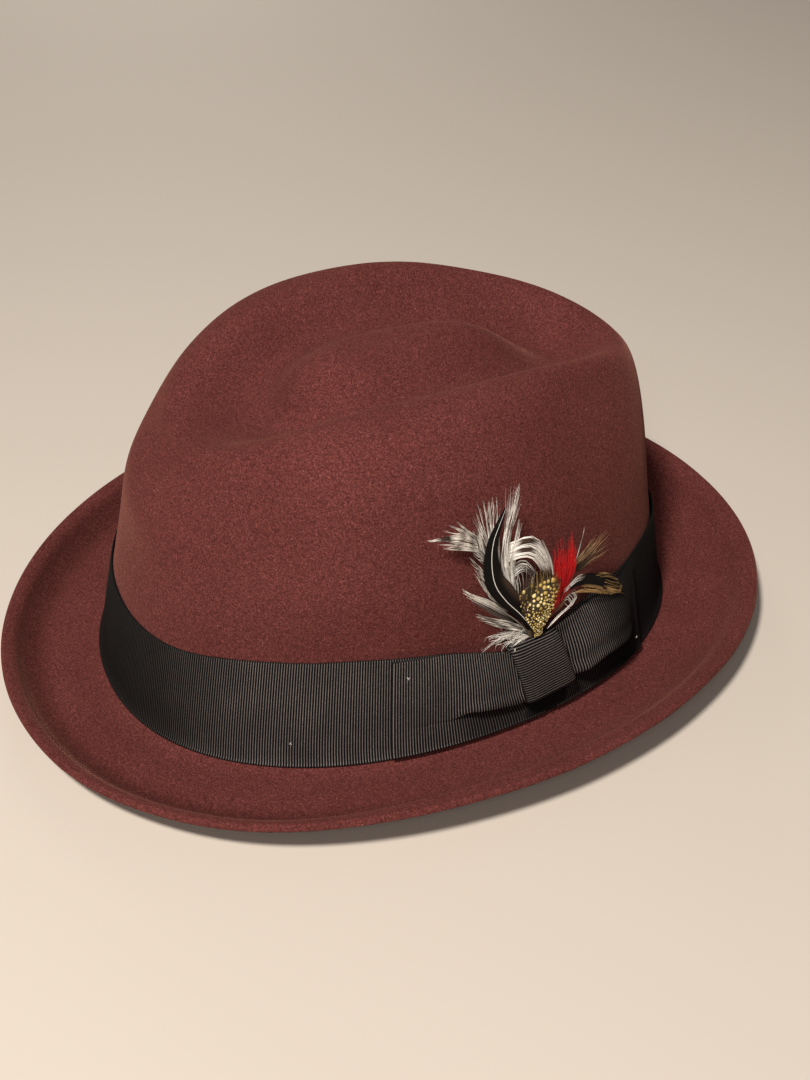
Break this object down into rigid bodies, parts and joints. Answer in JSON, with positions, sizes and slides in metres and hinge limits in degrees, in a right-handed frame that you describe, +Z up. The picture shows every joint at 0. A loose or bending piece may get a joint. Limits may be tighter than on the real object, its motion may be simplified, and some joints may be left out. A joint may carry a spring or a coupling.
{
  "type": "fedora hat",
  "caption": "Short-brim felt hat with a teardrop crease, ribbed ribbon band and flat bow, and a feather bunch that lifts out from behind the knot.",
  "frame": {"origin": "middle of the head oval, on the plane the brim rests on", "axes": "+Z up through the crown; front of the hat towards -Y, back towards +Y; wearer's right, with the bow and feathers, towards -X"},
  "size_m": [0.2354, 0.2806, 0.1152],
  "materials": {
    "wool_felt": "matte brushed wool felt",
    "grosgrain": "ribbed, slight silk sheen",
    "thread": "matte",
    "sweatband_leather": "satin",
    "reed_plastic": "satin",
    "lining_satin": "satin sheen",
    "tag_fabric": "matte",
    "white_feather": "matte",
    "barred_feather": "matte",
    "tan_feather": "matte",
    "black_feather": "glossy",
    "dark_feather": "satin",
    "red_feather": "matte",
    "speckled_pad": "satin",
    "quill_thread": "matte"
  },
  "bodies": {
    "hat": {"felt_body": "wool_felt", "ribbon_band": "grosgrain", "bow_wing_back": "grosgrain", "bow_wing_front": "grosgrain", "bow_knot": "grosgrain", "tack_band_rear": "thread", "tack_bow_back": "thread", "tack_knot": "thread", "tack_bow_front": "thread", "sweatband": "sweatband_leather", "sweatband_reed": "reed_plastic", "sweatband_stitching": "thread", "lining_side": "lining_satin", "lining_tip": "lining_satin", "size_tag": "tag_fabric"},
    "feather_bunch": {"down_fluff": "white_feather", "hackle_barred_left": "barred_feather", "feather_white_arc": "white_feather", "hackle_tan": "tan_feather", "hackle_white_tall": "white_feather", "hackle_low_upper": "barred_feather", "feather_black_biot": "black_feather", "hackle_low_lower": "barred_feather", "feather_dark_front": "dark_feather", "feather_red": "red_feather", "pad_speckled": "speckled_pad", "feather_quills": "quill_thread"}
  },
  "joints": [
    {"name": "feather_pull", "type": "slide", "parent": "hat", "child": "feather_bunch", "axis": [0.1464, 0.0218, 0.989], "range_m": [0, 0.045]}
  ]
}
